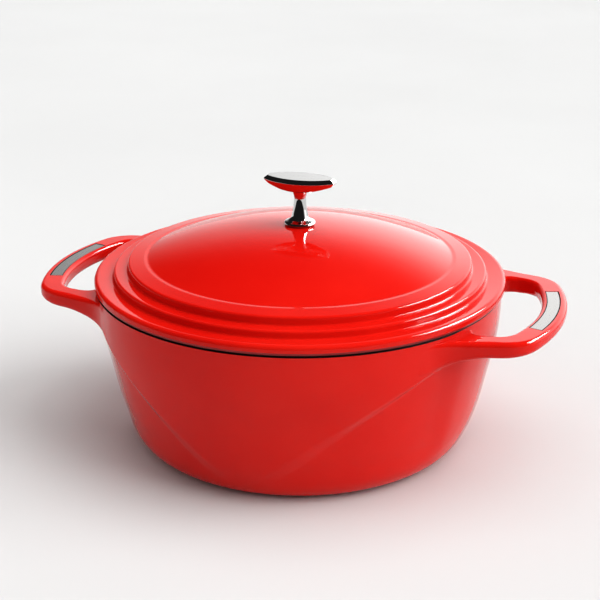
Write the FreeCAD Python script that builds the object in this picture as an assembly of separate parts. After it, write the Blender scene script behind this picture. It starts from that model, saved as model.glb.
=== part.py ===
import FreeCAD, Part
import math
import os

from FreeCAD import Vector

# Round cast iron dutch oven with a lid. Millimetres, +Z up.
# Origin: centre of the foot ring, on the surface the pot stands on. The loop handles lie along +X and -X.

# Pot bowl
FOOT_R = 103.5
FOOT_RING_WIDTH = 6.0
FOOT_RECESS = 1.0
BELLY_BOTTOM = (108.3, 1.2)
BELLY_POINTS = ((113.2, 4.2), (120.3, 14.5), (125.9, 29.4), (132.2, 56.4), (137.6, 83.7))
SHOULDER_R = 139.2
RIM_BAND_Z = 111.0
RIM_R = 138.8
RIM_Z = 112.4
WALL = 4.6
FLOOR_T = 5.4
INNER_CORNER_R = 24.0
CAVITY_MARGIN = 1.0

# Raised front and back panels of the bowl, bounded by slanting ridges
PANEL_RISE = 1.2
PANEL_ROOT = 1.5
RIDGE_TOP = (111.5, 88.6)
RIDGE_BOTTOM = (16.0, 24.2)
PANEL_REACH = 200.0

# Loop handles
HANDLE_TOP_Z = 109.0
HANDLE_T = 11.2
HANDLE_TIP_T = 8.6
HANDLE_BEND_X = 150.0
ROOT_DROP = 6.5
ROOT_SAG = 0.25
ROOT_OVERLAP = 20.0
ROOT_TUCK = 9.0
SIDE_MARGIN = 5.0
LOOP_CENTRE_X = 45.9
LOOP_OUTER_R = 137.2
LOOP_INNER_R = 120.8
LOOP_HALF_ANGLE = 18.2
ARM_INNER_Y = 56.0
ARM_CORNER = (170.4, 62.6)
ARM_CORNER_R = 26.0
ARM_FLARE = (119.3, 76.5)
ARM_FLARE_R = 42.0
ARM_ROOT = (110.2, 88.0)
OPENING_CORNER_R = 16.0
OPENING_WALL_CORNER_R = 7.0
HANDLE_TOP_ROUND = 3.0

# Handle badges
BADGE_INNER_R = 124.4
BADGE_OUTER_R = 132.3
BADGE_HALF_ANGLE = 16.2
BADGE_T = 1.2
BADGE_GAP = 0.35
BADGE_PROUD = -0.15
BADGE_PIN_R = 1.5
BADGE_PIN_LENGTH = 3.0
BADGE_PIN_ANGLE = 11.0
PIN_CLEARANCE = 0.05
PIN_END_GAP = 0.5

# Lid
SEAT_GAP = 0.3
LID_R = 141.3
LID_SKIRT_R = 139.9
LID_SKIRT_Z = 2.2
LID_EDGE_Z = 7.3
STEP_2_R = 128.0
STEP_2_FOOT_Z = 6.0
STEP_2_Z = 11.5
STEP_1_R = 118.0
STEP_1_FOOT_Z = 10.9
STEP_1_Z = 16.7
DOME_R = 103.9
DOME_Z = 18.5
LID_HEIGHT = 39.4
STEP_EDGE_ROUND = 1.6
LID_EDGE_ROUND = 2.6
LID_WALL = 4.2
LID_DOME_INSET = 3.0
LIP_OUTER_R = 132.0
LIP_INNER_R = 128.0
LIP_DEPTH = 5.0
LID_HOLE_R = 2.8
LID_BOSS_R = 11.0
LID_BOSS_T = 6.0
BOSS_JOIN_GAP = 1.0
HOLE_MARGIN = 6.0

# Knob
KNOB_BASE_R = 9.8
KNOB_BULGE = (10.7, 1.2)
KNOB_STEM_POINTS = ((8.6, 3.4), (6.4, 7.2), (4.9, 12.5), (4.2, 18.7))
KNOB_NECK = (5.9, 25.6)
KNOB_HALF_LENGTH = 25.2
KNOB_HALF_WIDTH = 12.6
KNOB_END_HALF_WIDTH = 3.2
KNOB_TOP_Z = 33.6
KNOB_RIM_DROP = 2.4
KNOB_STEM_TOP_Z = 28.8
KNOB_END_T = 5.4
KNOB_MIDDLE_T = 8.6
KNOB_BORE_R = 2.55
KNOB_BORE_DEPTH = 14.0

# Screw and washers under the lid
SCREW_R = 2.5
SCREW_ENGAGEMENT = 12.0
SCREW_HEAD_R = 5.0
SCREW_HEAD_T = 3.4
SCREW_HEAD_ROUND = SCREW_HEAD_T / 3
SCREW_SOCKET_R = 1.7
SCREW_SOCKET_DEPTH = 2.0
SOCKET_SIDES = 6
WASHER_BORE_R = 2.65
FLAT_WASHER_R = 6.5
FLAT_WASHER_T = 1.0
LOCK_WASHER_R = 4.6
LOCK_WASHER_T = 1.3
LOCK_WASHER_SLOT = 0.8
SLOT_MARGIN = 1.0

NEAR = 0.01
AXIS = Vector(0, 0, 1)
ORIGIN = Vector(0, 0, 0)
SEAT_Z = RIM_Z + SEAT_GAP
CROWN_Z = SEAT_Z + LID_HEIGHT
BOSS_Z = CROWN_Z - LID_BOSS_T


def rz(point):
    """Point (radius, height) of a turned profile, in the XZ plane."""
    return Vector(point[0], 0, point[1])


def line(a, b):
    return Part.LineSegment(a, b).toShape()


def spline(points):
    """Smooth curve through the points."""
    curve = Part.BSplineCurve()
    curve.interpolate(points)
    return curve.toShape()


def turned(edges):
    """Solid of revolution about the Z axis of a closed chain of edges in the XZ plane."""
    face = Part.Face(Part.Wire(edges))
    return face.revolve(ORIGIN, AXIS, 360)


def tube(inner_r, outer_r, z, height):
    """Plain ring standing on height z."""
    outer = Part.makeCylinder(outer_r, height, Vector(0, 0, z))
    return outer.cut(Part.makeCylinder(inner_r, height, Vector(0, 0, z)))


def rounded_outline(corners):
    """Closed wire through (x, y, r) corners, each rounded by a tangent arc of radius r, or sharp at 0."""
    points = [Vector(x, y, 0) for x, y, r in corners]
    count = len(points)
    joints = []
    for i in range(count):
        back = (points[i - 1] - points[i]).normalize()
        ahead = (points[(i + 1) % count] - points[i]).normalize()
        radius = corners[i][2]
        if radius == 0:
            joints.append((points[i], None, points[i]))
            continue
        half = back.getAngle(ahead) / 2
        middle = (back + ahead).normalize()
        reach = radius / math.tan(half)
        depth = radius / math.sin(half) - radius
        joints.append((points[i] + back * reach, points[i] + middle * depth, points[i] + ahead * reach))
    edges = []
    for i, (start, middle, end) in enumerate(joints):
        if middle is not None:
            edges.append(Part.Arc(start, middle, end).toShape())
        following = joints[(i + 1) % count][0]
        if (following - end).Length > NEAR:
            edges.append(line(end, following))
    return Part.Wire(edges)


def upright(wire, low, high):
    """Solid of a flat XY outline from height low to height high."""
    wire.translate(Vector(0, 0, low))
    return Part.Face(wire).extrude(Vector(0, 0, high - low))


def edges_at(shape, z):
    """Edges that lie wholly at height z."""
    return [e for e in shape.Edges if max(abs(e.BoundBox.ZMin - z), abs(e.BoundBox.ZMax - z)) < NEAR]


def bowl_outer(extra):
    """Outside of the bowl as a full solid, grown outward by extra on its side wall."""
    side = [rz((BELLY_BOTTOM[0] + extra, BELLY_BOTTOM[1]))]
    side += [rz((r + extra, z)) for r, z in BELLY_POINTS]
    side += [rz((SHOULDER_R + extra, RIM_BAND_Z))]
    return turned([
        line(ORIGIN, rz((FOOT_R, 0))),
        line(rz((FOOT_R, 0)), side[0]),
        spline(side),
        line(side[-1], rz((RIM_R, RIM_BAND_Z))),
        line(rz((RIM_R, RIM_BAND_Z)), rz((RIM_R, RIM_Z))),
        line(rz((RIM_R, RIM_Z)), rz((0, RIM_Z))),
        line(rz((0, RIM_Z)), ORIGIN),
    ])


def bowl_cavity():
    """Inside of the bowl, open at the rim, with a rounded corner at the floor."""
    corner_end = rz((BELLY_POINTS[2][0] - WALL, BELLY_POINTS[2][1]))
    floor_corner = rz((corner_end.x - INNER_CORNER_R, FLOOR_T))
    turn = INNER_CORNER_R * (1 - math.sqrt(0.5))
    corner_mid = rz((corner_end.x - turn, FLOOR_T + turn))
    wall = [corner_end] + [rz((r - WALL, z)) for r, z in BELLY_POINTS[3:]]
    wall += [rz((SHOULDER_R - WALL, RIM_BAND_Z))]
    mouth = rz((SHOULDER_R - WALL, RIM_Z + CAVITY_MARGIN))
    return turned([
        line(rz((0, FLOOR_T)), floor_corner),
        Part.Arc(floor_corner, corner_mid, corner_end).toShape(),
        spline(wall),
        line(wall[-1], mouth),
        line(mouth, rz((0, mouth.z))),
        line(rz((0, mouth.z)), rz((0, FLOOR_T))),
    ])


def panels():
    """Raised front and back of the bowl: the grown bowl between the slanting ridges."""
    raised = bowl_outer(PANEL_RISE).cut(bowl_outer(-PANEL_ROOT))
    corners = [
        Vector(-RIDGE_BOTTOM[0], -PANEL_REACH, RIDGE_BOTTOM[1]),
        Vector(RIDGE_BOTTOM[0], -PANEL_REACH, RIDGE_BOTTOM[1]),
        Vector(RIDGE_TOP[0], -PANEL_REACH, RIDGE_TOP[1]),
        Vector(RIDGE_TOP[0], -PANEL_REACH, RIM_BAND_Z),
        Vector(-RIDGE_TOP[0], -PANEL_REACH, RIM_BAND_Z),
        Vector(-RIDGE_TOP[0], -PANEL_REACH, RIDGE_TOP[1]),
    ]
    window = Part.Face(Part.makePolygon(corners + corners[:1])).extrude(Vector(0, 2 * PANEL_REACH, 0))
    return raised.common(window)


def loop_outline():
    """Outside outline of the right handle, from its roots inside the bowl wall."""
    peak_x = LOOP_CENTRE_X + LOOP_OUTER_R / math.cos(math.radians(LOOP_HALF_ANGLE))
    upper = [
        (ARM_ROOT[0] - ROOT_TUCK, ARM_ROOT[1] - ROOT_TUCK, 0),
        (ARM_ROOT[0], ARM_ROOT[1], 0),
        (ARM_FLARE[0], ARM_FLARE[1], ARM_FLARE_R),
        (ARM_CORNER[0], ARM_CORNER[1], ARM_CORNER_R),
    ]
    lower = [(x, -y, r) for x, y, r in reversed(upper)]
    return rounded_outline(upper + [(peak_x, 0, LOOP_OUTER_R)] + lower)


def opening_outline():
    """Finger opening: bowl wall on one side, arms above and below, and the loop's inner arc."""
    wall_r = SHOULDER_R
    corner = OPENING_WALL_CORNER_R
    corner_y = ARM_INNER_Y - corner
    wall_corner = Vector(math.sqrt((wall_r + corner) ** 2 - corner_y ** 2), corner_y, 0)
    on_wall = wall_corner * (wall_r / (wall_r + corner))
    on_arm = Vector(wall_corner.x, ARM_INNER_Y, 0)
    toward = (on_wall + on_arm) * 0.5 - wall_corner
    wall_mid = wall_corner + toward.normalize() * corner
    rise = ARM_INNER_Y - OPENING_CORNER_R
    run = math.sqrt((LOOP_INNER_R - OPENING_CORNER_R) ** 2 - rise ** 2)
    far_corner = Vector(LOOP_CENTRE_X + run, rise, 0)
    arm_end = Vector(far_corner.x, ARM_INNER_Y, 0)
    outward = Vector(run, rise, 0).normalize()
    on_loop = far_corner + outward * OPENING_CORNER_R
    far_mid = far_corner + (outward + Vector(0, 1, 0)).normalize() * OPENING_CORNER_R

    def low(point):
        return Vector(point.x, -point.y, 0)

    return Part.Wire([
        Part.Arc(low(on_wall), Vector(wall_r, 0, 0), on_wall).toShape(),
        Part.Arc(on_wall, wall_mid, on_arm).toShape(),
        line(on_arm, arm_end),
        Part.Arc(arm_end, far_mid, on_loop).toShape(),
        Part.Arc(on_loop, Vector(LOOP_CENTRE_X + LOOP_INNER_R, 0, 0), low(on_loop)).toShape(),
        Part.Arc(low(on_loop), low(far_mid), low(arm_end)).toShape(),
        line(low(arm_end), low(on_arm)),
        Part.Arc(low(on_arm), low(wall_mid), low(on_wall)).toShape(),
    ])


def loop_side():
    """Side view of the handle: flat top, underside that drops towards the bowl and rises to the tip."""
    under = HANDLE_TOP_Z - HANDLE_T
    near_x = ARM_ROOT[0] - ROOT_OVERLAP
    far_x = LOOP_CENTRE_X + LOOP_OUTER_R + SIDE_MARGIN
    root_low = Vector(ARM_ROOT[0], 0, under - ROOT_DROP)
    root_mid = Vector((HANDLE_BEND_X + ARM_ROOT[0]) / 2, 0, under - ROOT_DROP * ROOT_SAG)
    bend = Vector(HANDLE_BEND_X, 0, under)
    tip_low = Vector(far_x, 0, HANDLE_TOP_Z - HANDLE_TIP_T)
    tip_high = Vector(far_x, 0, HANDLE_TOP_Z)
    near_high = Vector(near_x, 0, HANDLE_TOP_Z)
    near_low = Vector(near_x, 0, root_low.z)
    wire = Part.Wire([
        line(near_high, tip_high),
        line(tip_high, tip_low),
        line(tip_low, bend),
        Part.Arc(bend, root_mid, root_low).toShape(),
        line(root_low, near_low),
        line(near_low, near_high),
    ])
    reach = Vector(0, -PANEL_REACH, 0)
    wire.translate(reach)
    return Part.Face(wire).extrude(reach * -2)


def outline_edges(loop):
    """Top edges of the handle that lie outside the bowl wall."""
    near_x = ARM_ROOT[0] - SIDE_MARGIN
    return [e for e in edges_at(loop, HANDLE_TOP_Z) if e.BoundBox.XMin > near_x]


def right_handle():
    """Loop handle on +X with a rounded top edge, open in the middle."""
    low = HANDLE_TOP_Z - HANDLE_T - ROOT_DROP - SIDE_MARGIN
    loop = upright(loop_outline(), low, HANDLE_TOP_Z).common(loop_side())
    loop = loop.makeFillet(HANDLE_TOP_ROUND, outline_edges(loop))
    return loop.cut(upright(opening_outline(), low, HANDLE_TOP_Z + SIDE_MARGIN))


def badge_blank(gap, thickness, top):
    """Curved plate between two arcs and two radial ends, grown by gap all round."""
    half = BADGE_HALF_ANGLE + math.degrees(gap / BADGE_OUTER_R)
    centre = Vector(LOOP_CENTRE_X, 0, top - thickness)
    outer = Part.makeCylinder(BADGE_OUTER_R + gap, thickness, centre, AXIS, 2 * half)
    inner = Part.makeCylinder(BADGE_INNER_R - gap, thickness, centre, AXIS, 2 * half)
    plate = outer.cut(inner)
    plate.rotate(centre, AXIS, -half)
    return plate


def badge_pins(radius, length, top):
    """Two locating pins on the back of a badge."""
    middle_r = (BADGE_INNER_R + BADGE_OUTER_R) / 2
    pins = []
    for angle in (-BADGE_PIN_ANGLE, BADGE_PIN_ANGLE):
        turn = math.radians(angle)
        spot = Vector(LOOP_CENTRE_X + middle_r * math.cos(turn), middle_r * math.sin(turn), top - length)
        pins.append(Part.makeCylinder(radius, length, spot))
    return pins


def on_side(shape, side):
    """Copy of a +X piece, turned half round for the -X side."""
    copy = shape.copy()
    if side < 0:
        copy.rotate(ORIGIN, AXIS, 180)
    return copy


def badge():
    """Curved plate with two pins on its back."""
    top = HANDLE_TOP_Z + BADGE_PROUD
    plate = badge_blank(0, BADGE_T, top)
    return plate.multiFuse(badge_pins(BADGE_PIN_R, BADGE_PIN_LENGTH + BADGE_T / 2, top - BADGE_T / 2))


def badge_recess():
    """Pocket and pin holes for a badge."""
    floor = HANDLE_TOP_Z + BADGE_PROUD - BADGE_T
    above = HANDLE_TOP_Z + BADGE_T
    pocket = badge_blank(BADGE_GAP, above - floor, above)
    depth = BADGE_PIN_LENGTH + PIN_END_GAP + BADGE_T
    holes = badge_pins(BADGE_PIN_R + PIN_CLEARANCE, depth, above - BADGE_T)
    return pocket.multiFuse(holes)


def pot_body():
    """Bowl, raised panels and two loop handles as one casting."""
    handle = right_handle()
    body = bowl_outer(0).multiFuse([panels(), on_side(handle, 1), on_side(handle, -1)])
    body = body.cut(bowl_cavity())
    recess = badge_recess()
    body = body.cut(on_side(recess, 1)).cut(on_side(recess, -1))
    foot_hollow = Part.makeCylinder(FOOT_R - FOOT_RING_WIDTH, FOOT_RECESS, ORIGIN)
    return body.cut(foot_hollow).removeSplitter()


def step_edge(radius, low, high, round_r, inner_r, inner_z):
    """Edges of one lid step, going inward: riser, rounded top edge, and the flat to the foot of the next."""
    start = rz((radius, low))
    foot = rz((radius, high - round_r))
    head = rz((radius - round_r, high))
    turn = round_r * (1 - math.sqrt(0.5))
    middle = rz((radius - turn, high - turn))
    return [line(start, foot), Part.Arc(foot, middle, head).toShape(), line(head, rz((inner_r, inner_z)))]


def dome_arc(edge_r, edge_z, crown_z):
    """Arc of the crowned dome from its border to the axis."""
    rise = crown_z - edge_z
    sphere_r = (edge_r ** 2 + rise ** 2) / (2 * rise)
    middle_r = edge_r / 2
    middle_z = crown_z - sphere_r + math.sqrt(sphere_r ** 2 - middle_r ** 2)
    return Part.Arc(rz((edge_r, edge_z)), rz((middle_r, middle_z)), rz((0, crown_z))).toShape()


def lid():
    """Stepped, crowned lid with a locating lip below and a boss for the knob screw."""
    edge_z = SEAT_Z + LID_EDGE_Z
    foot_2 = SEAT_Z + STEP_2_FOOT_Z
    top_2 = SEAT_Z + STEP_2_Z
    foot_1 = SEAT_Z + STEP_1_FOOT_Z
    top_1 = SEAT_Z + STEP_1_Z
    dome_z = SEAT_Z + DOME_Z
    inner_dome_z = dome_z - LID_WALL
    inner_crown_z = CROWN_Z - LID_WALL
    outside = [line(rz((LID_SKIRT_R, SEAT_Z)), rz((LID_R, SEAT_Z + LID_SKIRT_Z)))]
    outside += step_edge(LID_R, SEAT_Z + LID_SKIRT_Z, edge_z, LID_EDGE_ROUND, STEP_2_R, foot_2)
    outside += step_edge(STEP_2_R, foot_2, top_2, STEP_EDGE_ROUND, STEP_1_R, foot_1)
    outside += step_edge(STEP_1_R, foot_1, top_1, STEP_EDGE_ROUND, DOME_R, dome_z)
    outside += [dome_arc(DOME_R, dome_z, CROWN_Z)]
    inside_points = [
        (0, inner_crown_z),
        (DOME_R - LID_DOME_INSET, inner_dome_z),
        (STEP_1_R - LID_WALL, top_1 - LID_WALL),
        (STEP_2_R - LID_WALL, foot_2 - LID_WALL / 2),
        (LIP_INNER_R, SEAT_Z),
        (LIP_INNER_R, SEAT_Z - LIP_DEPTH),
        (LIP_OUTER_R, SEAT_Z - LIP_DEPTH),
        (LIP_OUTER_R, SEAT_Z),
        (LID_SKIRT_R, SEAT_Z),
    ]
    inner_dome = dome_arc(inside_points[1][0], inside_points[1][1], inner_crown_z)
    inside = [line(rz((0, CROWN_Z)), rz(inside_points[0])), inner_dome]
    for a, b in zip(inside_points[1:], inside_points[2:]):
        inside.append(line(rz(a), rz(b)))
    shell = turned(outside + inside)
    boss = Part.makeCylinder(LID_BOSS_R, LID_BOSS_T - BOSS_JOIN_GAP, Vector(0, 0, BOSS_Z))
    hole_length = LID_BOSS_T + 2 * HOLE_MARGIN
    hole = Part.makeCylinder(LID_HOLE_R, hole_length, Vector(0, 0, BOSS_Z - HOLE_MARGIN))
    return shell.fuse(boss).cut(hole).removeSplitter()


def knob_head():
    """Truncated-oval head: flat top with a bevelled rim, and an underside that thickens to the stem."""
    back_left = Vector(-KNOB_HALF_LENGTH, KNOB_END_HALF_WIDTH, 0)
    back_right = Vector(KNOB_HALF_LENGTH, KNOB_END_HALF_WIDTH, 0)
    front_right = Vector(KNOB_HALF_LENGTH, -KNOB_END_HALF_WIDTH, 0)
    front_left = Vector(-KNOB_HALF_LENGTH, -KNOB_END_HALF_WIDTH, 0)
    plan = Part.Wire([
        Part.Arc(back_left, Vector(0, KNOB_HALF_WIDTH, 0), back_right).toShape(),
        line(back_right, front_right),
        Part.Arc(front_right, Vector(0, -KNOB_HALF_WIDTH, 0), front_left).toShape(),
        line(front_left, back_left),
    ])
    head = upright(plan, KNOB_TOP_Z - KNOB_MIDDLE_T, KNOB_TOP_Z)
    head = head.makeChamfer(KNOB_RIM_DROP, edges_at(head, KNOB_TOP_Z))
    for half_span, turn in ((KNOB_HALF_LENGTH, 0), (KNOB_HALF_WIDTH, 90)):
        head = head.common(keel(half_span, turn))
    return head


def keel(half_span, turn):
    """Block whose underside curves down from both ends to the middle, turned about Z."""
    ends_z = KNOB_TOP_Z - KNOB_END_T
    middle_z = KNOB_TOP_Z - KNOB_MIDDLE_T
    reach = KNOB_HALF_LENGTH * 2
    left = Vector(-half_span, -reach, ends_z)
    right = Vector(half_span, -reach, ends_z)
    wire = Part.Wire([
        Part.Arc(left, Vector(0, -reach, middle_z), right).toShape(),
        line(right, Vector(half_span, -reach, KNOB_TOP_Z)),
        line(Vector(half_span, -reach, KNOB_TOP_Z), Vector(-half_span, -reach, KNOB_TOP_Z)),
        line(Vector(-half_span, -reach, KNOB_TOP_Z), left),
    ])
    block = Part.Face(wire).extrude(Vector(0, 2 * reach, 0))
    block.rotate(ORIGIN, AXIS, turn)
    return block


def knob_stem():
    """Waisted stem on a flared round base."""
    neck_top = rz((KNOB_NECK[0], KNOB_STEM_TOP_Z))
    flank = [rz(KNOB_BULGE)] + [rz(p) for p in KNOB_STEM_POINTS] + [rz(KNOB_NECK)]
    return turned([
        line(ORIGIN, rz((KNOB_BASE_R, 0))),
        line(rz((KNOB_BASE_R, 0)), rz(KNOB_BULGE)),
        spline(flank),
        line(rz(KNOB_NECK), neck_top),
        line(neck_top, rz((0, neck_top.z))),
        line(rz((0, neck_top.z)), ORIGIN),
    ])


def knob():
    """Head and stem in one, with a blind screw hole up its axis."""
    body = knob_head().fuse(knob_stem())
    body = body.cut(Part.makeCylinder(KNOB_BORE_R, KNOB_BORE_DEPTH, ORIGIN)).removeSplitter()
    body.translate(Vector(0, 0, CROWN_Z))
    return body


def knob_flat_washer():
    return tube(WASHER_BORE_R, FLAT_WASHER_R, BOSS_Z - FLAT_WASHER_T, FLAT_WASHER_T)


def knob_lock_washer():
    """Spring washer: a ring with one slot across it."""
    low = BOSS_Z - FLAT_WASHER_T - LOCK_WASHER_T
    ring = tube(WASHER_BORE_R, LOCK_WASHER_R, low, LOCK_WASHER_T)
    corner = Vector(0, -LOCK_WASHER_SLOT / 2, low)
    slot = Part.makeBox(LOCK_WASHER_R + SLOT_MARGIN, LOCK_WASHER_SLOT, LOCK_WASHER_T, corner)
    return ring.cut(slot)


def knob_screw():
    """Pan head machine screw with a hexagon socket."""
    head_top = BOSS_Z - FLAT_WASHER_T - LOCK_WASHER_T
    head_low = head_top - SCREW_HEAD_T
    head = Part.makeCylinder(SCREW_HEAD_R, SCREW_HEAD_T, Vector(0, 0, head_low))
    head = head.makeFillet(SCREW_HEAD_ROUND, edges_at(head, head_low))
    shank = Part.makeCylinder(SCREW_R, CROWN_Z + SCREW_ENGAGEMENT - head_top, Vector(0, 0, head_top))
    corners = []
    for i in range(SOCKET_SIDES + 1):
        turn = 2 * math.pi * i / SOCKET_SIDES
        corners.append(Vector(SCREW_SOCKET_R * math.cos(turn), SCREW_SOCKET_R * math.sin(turn), head_low))
    socket = Part.Face(Part.makePolygon(corners)).extrude(Vector(0, 0, SCREW_SOCKET_DEPTH))
    return head.fuse(shank).cut(socket).removeSplitter()


PIECES = {
    "pot_body": pot_body(),
    "lid": lid(),
    "knob": knob(),
    "knob_screw": knob_screw(),
    "knob_flat_washer": knob_flat_washer(),
    "knob_lock_washer": knob_lock_washer(),
    "badge_right": on_side(badge(), 1),
    "badge_left": on_side(badge(), -1),
}

os.makedirs("parts", exist_ok=True)
for name, shape in PIECES.items():
    box = shape.BoundBox
    print(f"{name}: solids {len(shape.Solids)}, valid {shape.isValid()}, volume {shape.Volume:.0f} mm3,"
          f" z {box.ZMin:.1f}..{box.ZMax:.1f}")
    shape.exportStep(os.path.join("parts", name + ".step"))
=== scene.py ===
import math

import bpy
import numpy as np
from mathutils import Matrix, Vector


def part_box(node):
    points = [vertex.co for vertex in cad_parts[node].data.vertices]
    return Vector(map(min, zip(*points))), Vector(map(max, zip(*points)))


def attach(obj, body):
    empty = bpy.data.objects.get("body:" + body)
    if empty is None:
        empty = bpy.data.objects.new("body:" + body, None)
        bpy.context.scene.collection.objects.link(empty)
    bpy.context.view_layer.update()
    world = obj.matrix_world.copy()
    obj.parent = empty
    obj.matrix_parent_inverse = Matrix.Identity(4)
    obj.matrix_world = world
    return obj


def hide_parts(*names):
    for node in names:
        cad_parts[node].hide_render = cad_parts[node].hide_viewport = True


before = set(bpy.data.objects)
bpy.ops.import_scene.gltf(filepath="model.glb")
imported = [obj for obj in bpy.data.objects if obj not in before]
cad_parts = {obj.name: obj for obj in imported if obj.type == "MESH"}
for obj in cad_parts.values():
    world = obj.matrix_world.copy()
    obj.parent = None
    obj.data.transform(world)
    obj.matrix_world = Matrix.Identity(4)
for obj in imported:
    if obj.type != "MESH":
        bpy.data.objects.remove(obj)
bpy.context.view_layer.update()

# Looks of the round enamelled iron pot, its stepped lid and its steel knob.
# Metres, +Z up, handles along X.
MM = 0.001

POT_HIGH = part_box("pot_body")[1]
LID_LOW, LID_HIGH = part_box("lid")
KNOB_LOW, KNOB_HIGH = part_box("knob")

# Heights and radii taken from the frame
RIM_Z = POT_HIGH.z
CROWN_Z = LID_HIGH.z
LID_R = LID_HIGH.y
HANDLE_REACH = POT_HIGH.x
SEAT_GAP = 0.3 * MM
SEAT_Z = RIM_Z + SEAT_GAP
LIP_Z = LID_LOW.z

# Bowl. The turned skin stops at AXIS_GAP from the axis, above and below, and a fan closes it there.
AROUND = 416
AXIS_GAP = 4 * MM
WALL = 4.6 * MM
FLOOR_Z = 5.4 * MM
INNER_CORNER_R = 24 * MM
FOOT_R = 103.5 * MM
FOOT_WIDTH = 6 * MM
FOOT_RECESS = 1 * MM
RIM_BAND_Z = RIM_Z - 0.7 * MM
RIM_SETBACK = 0.4 * MM
BELLY = np.array([
    (108.3, 1.2), (113.2, 4.2), (120.3, 14.5), (125.9, 29.4), (132.2, 56.4), (137.6, 83.7),
]) * MM
SHOULDER = np.array([139.2 * MM, RIM_BAND_Z])
WALL_STEP = 0.94 * MM
# The inner wall follows the belly's points from this one up
INNER_BELLY_FROM = 3
# The last points of the foot's path, which the red enamel covers
FOOT_EDGE_POINTS = 6

# Raised front and back panels, with angles in degrees from the nearest handle.
# The ridge falls by RIDGE_FALL for each degree and by RIDGE_CURVE for each degree squared.
PANEL_RISE = 1.2 * MM
RIDGE_FROM = 37.0
RIDGE_Z = 88.5 * MM
RIDGE_FALL = 0.85 * MM
RIDGE_CURVE = 0.0135 * MM
RIDGE_WIDTH = 2.6 * MM
RIDGE_SPREAD = 0.25 * MM
RIDGE_ROUND = 0.07
RIDGE_RECESS = 1.9 * MM
RIDGE_FADE = (10 * MM, 30 * MM)
RECESS_TOP = (100 * MM, 84 * MM)
PANEL_SIDE = (22.0, 32.0)

# Loop handles
HANDLE_TOP = 109 * MM
HANDLE_T = 11.2 * MM
TIP_RISE = 2.4 * MM
HANDLE_BEND_X = 150 * MM
ROOT_X = 109.7 * MM
ROOT_DROP = 7.6 * MM
LOOP_X = 45.9 * MM
LOOP_OUTER_R = HANDLE_REACH - LOOP_X
LOOP_INNER_R = 120.8 * MM
ARM_FLARE = np.array((119.3, 76.5)) * MM
ARM_CORNER = np.array((170.4, 62.6)) * MM
ARM_INNER_Y = 56 * MM
PANEL_R = SHOULDER[0] + PANEL_RISE
FLARE_ROUND = 42 * MM
CORNER_ROUND = 26 * MM
OPENING_WALL_ROUND = 7 * MM
OPENING_ROUND = 16 * MM
EDGE_ROUND = 3.0 * MM
UNDER_ROUND = 3.8 * MM
TUCK_ANGLE = math.radians(6)
TUCK_DEPTH = 2.5 * MM
ROOT_LEAST_R = 135.9 * MM
ROOT_CAP_R = 137 * MM
ROOT_CAP_SHARE = 0.04
ROOT_LEAN = 1.2 * MM
ROOT_LEAN_FROM = 12 * MM
TUCK_POINTS = 8
ROOT_POINTS = 22
ARM_POINTS = 12
CORNER_POINTS = 26
TO_POCKET_POINTS = 8
PAST_POCKET_POINTS = 30
TOP_EDGE_SHARE = 0.04
SIDE_SHARES = np.array([0.06, 0.35, 0.65, 0.94])

# Badge pockets in the handle tops, a little larger than the badges
POCKET_INNER_R = 123.9 * MM
POCKET_OUTER_R = 133.15 * MM
POCKET_HALF_ANGLE = math.radians(16.6)
POCKET_DEPTH = 1.35 * MM
POCKET_WALL = 0.02 * MM
POCKET_COLUMNS = 6

# Lid, heights above its seat
DOME_R = 103.9 * MM
DOME_Z = 18.5 * MM
DOME_GROOVE = 0.22 * MM
DOME_BORDER = 4 * MM
DOME_INSET = 3 * MM
LID_WALL = 4.2 * MM
STEP_1_R = 118 * MM
STEP_1_Z = 16.7 * MM
STEP_1_FOOT = 10.9 * MM
STEP_2_R = 128 * MM
STEP_2_Z = 11.5 * MM
STEP_2_FOOT = 6.0 * MM
LID_EDGE_Z = 7.3 * MM
CHAMFER_Z = 2.2 * MM
SEAT_BLACK_Z = 0.4 * MM
SKIRT_R = 139.9 * MM
LIP_OUTER_R = 132 * MM
LIP_INNER_R = 128 * MM
BOSS_R = 11 * MM
BOSS_T = 6 * MM
LID_HOLE_R = 2.8 * MM
LID_AROUND = 360
DOME_POINTS = 44
UNDER_DOME_POINTS = 24

# Knob, heights above the crown
KNOB_TOP = KNOB_HIGH.z - KNOB_LOW.z
KNOB_HALF_LENGTH = KNOB_HIGH.x
KNOB_HALF_WIDTH = KNOB_HIGH.y
KNOB_END_HALF_WIDTH = 3.2 * MM
HEAD_BOW_POINTS = 80
HEAD_CORNER_POINTS = 9
HEAD_FACE_POINTS = 5
KNOB_END_FLAT = 0.55
KNOB_BOW_SHARE = 0.97
KNOB_END_INSET = 0.25
KNOB_BEVEL = 2.4 * MM
KNOB_TOP_SHARES = (0.08, 0.3, 0.6, 0.9, 0.985)
KNOB_TOP_ROUND = 0.35 * MM
KNOB_TOP_DROP = 0.18 * MM
KNOB_SIDE_Z = 0.3 * MM
KNOB_SIDE_T = 0.5 * MM
KNOB_SIDE_BULGE = 0.12 * MM
KNOB_DRAW_POWER = 0.8
KNOB_END_T = 5.4 * MM
KNOB_MIDDLE_T = 8.6 * MM
KNOB_SIDE_TUCK = 2.6 * MM
KNOB_STEM = np.array([
    (5.9, 25.6), (4.3, 20.2), (4.2, 16.2), (4.8, 11.0), (5.6, 7.2),
    (6.3, 4.9), (7.7, 3.5), (9.5, 2.7), (10.5, 2.0), (10.7, 1.2),
]) * MM
KNOB_BASE_R = 9.8 * MM

# Edges that turn by more than this stay sharp
SHARP_ANGLE = math.radians(42)


# ---------------------------------------------------------------- shapes

def smooth_step(low, high, value):
    """Rises from 0 at low to 1 at high as 3t^2 - 2t^3."""
    t = np.clip((value - low) / (high - low), 0, 1)
    return t * t * (3 - 2 * t)


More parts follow.
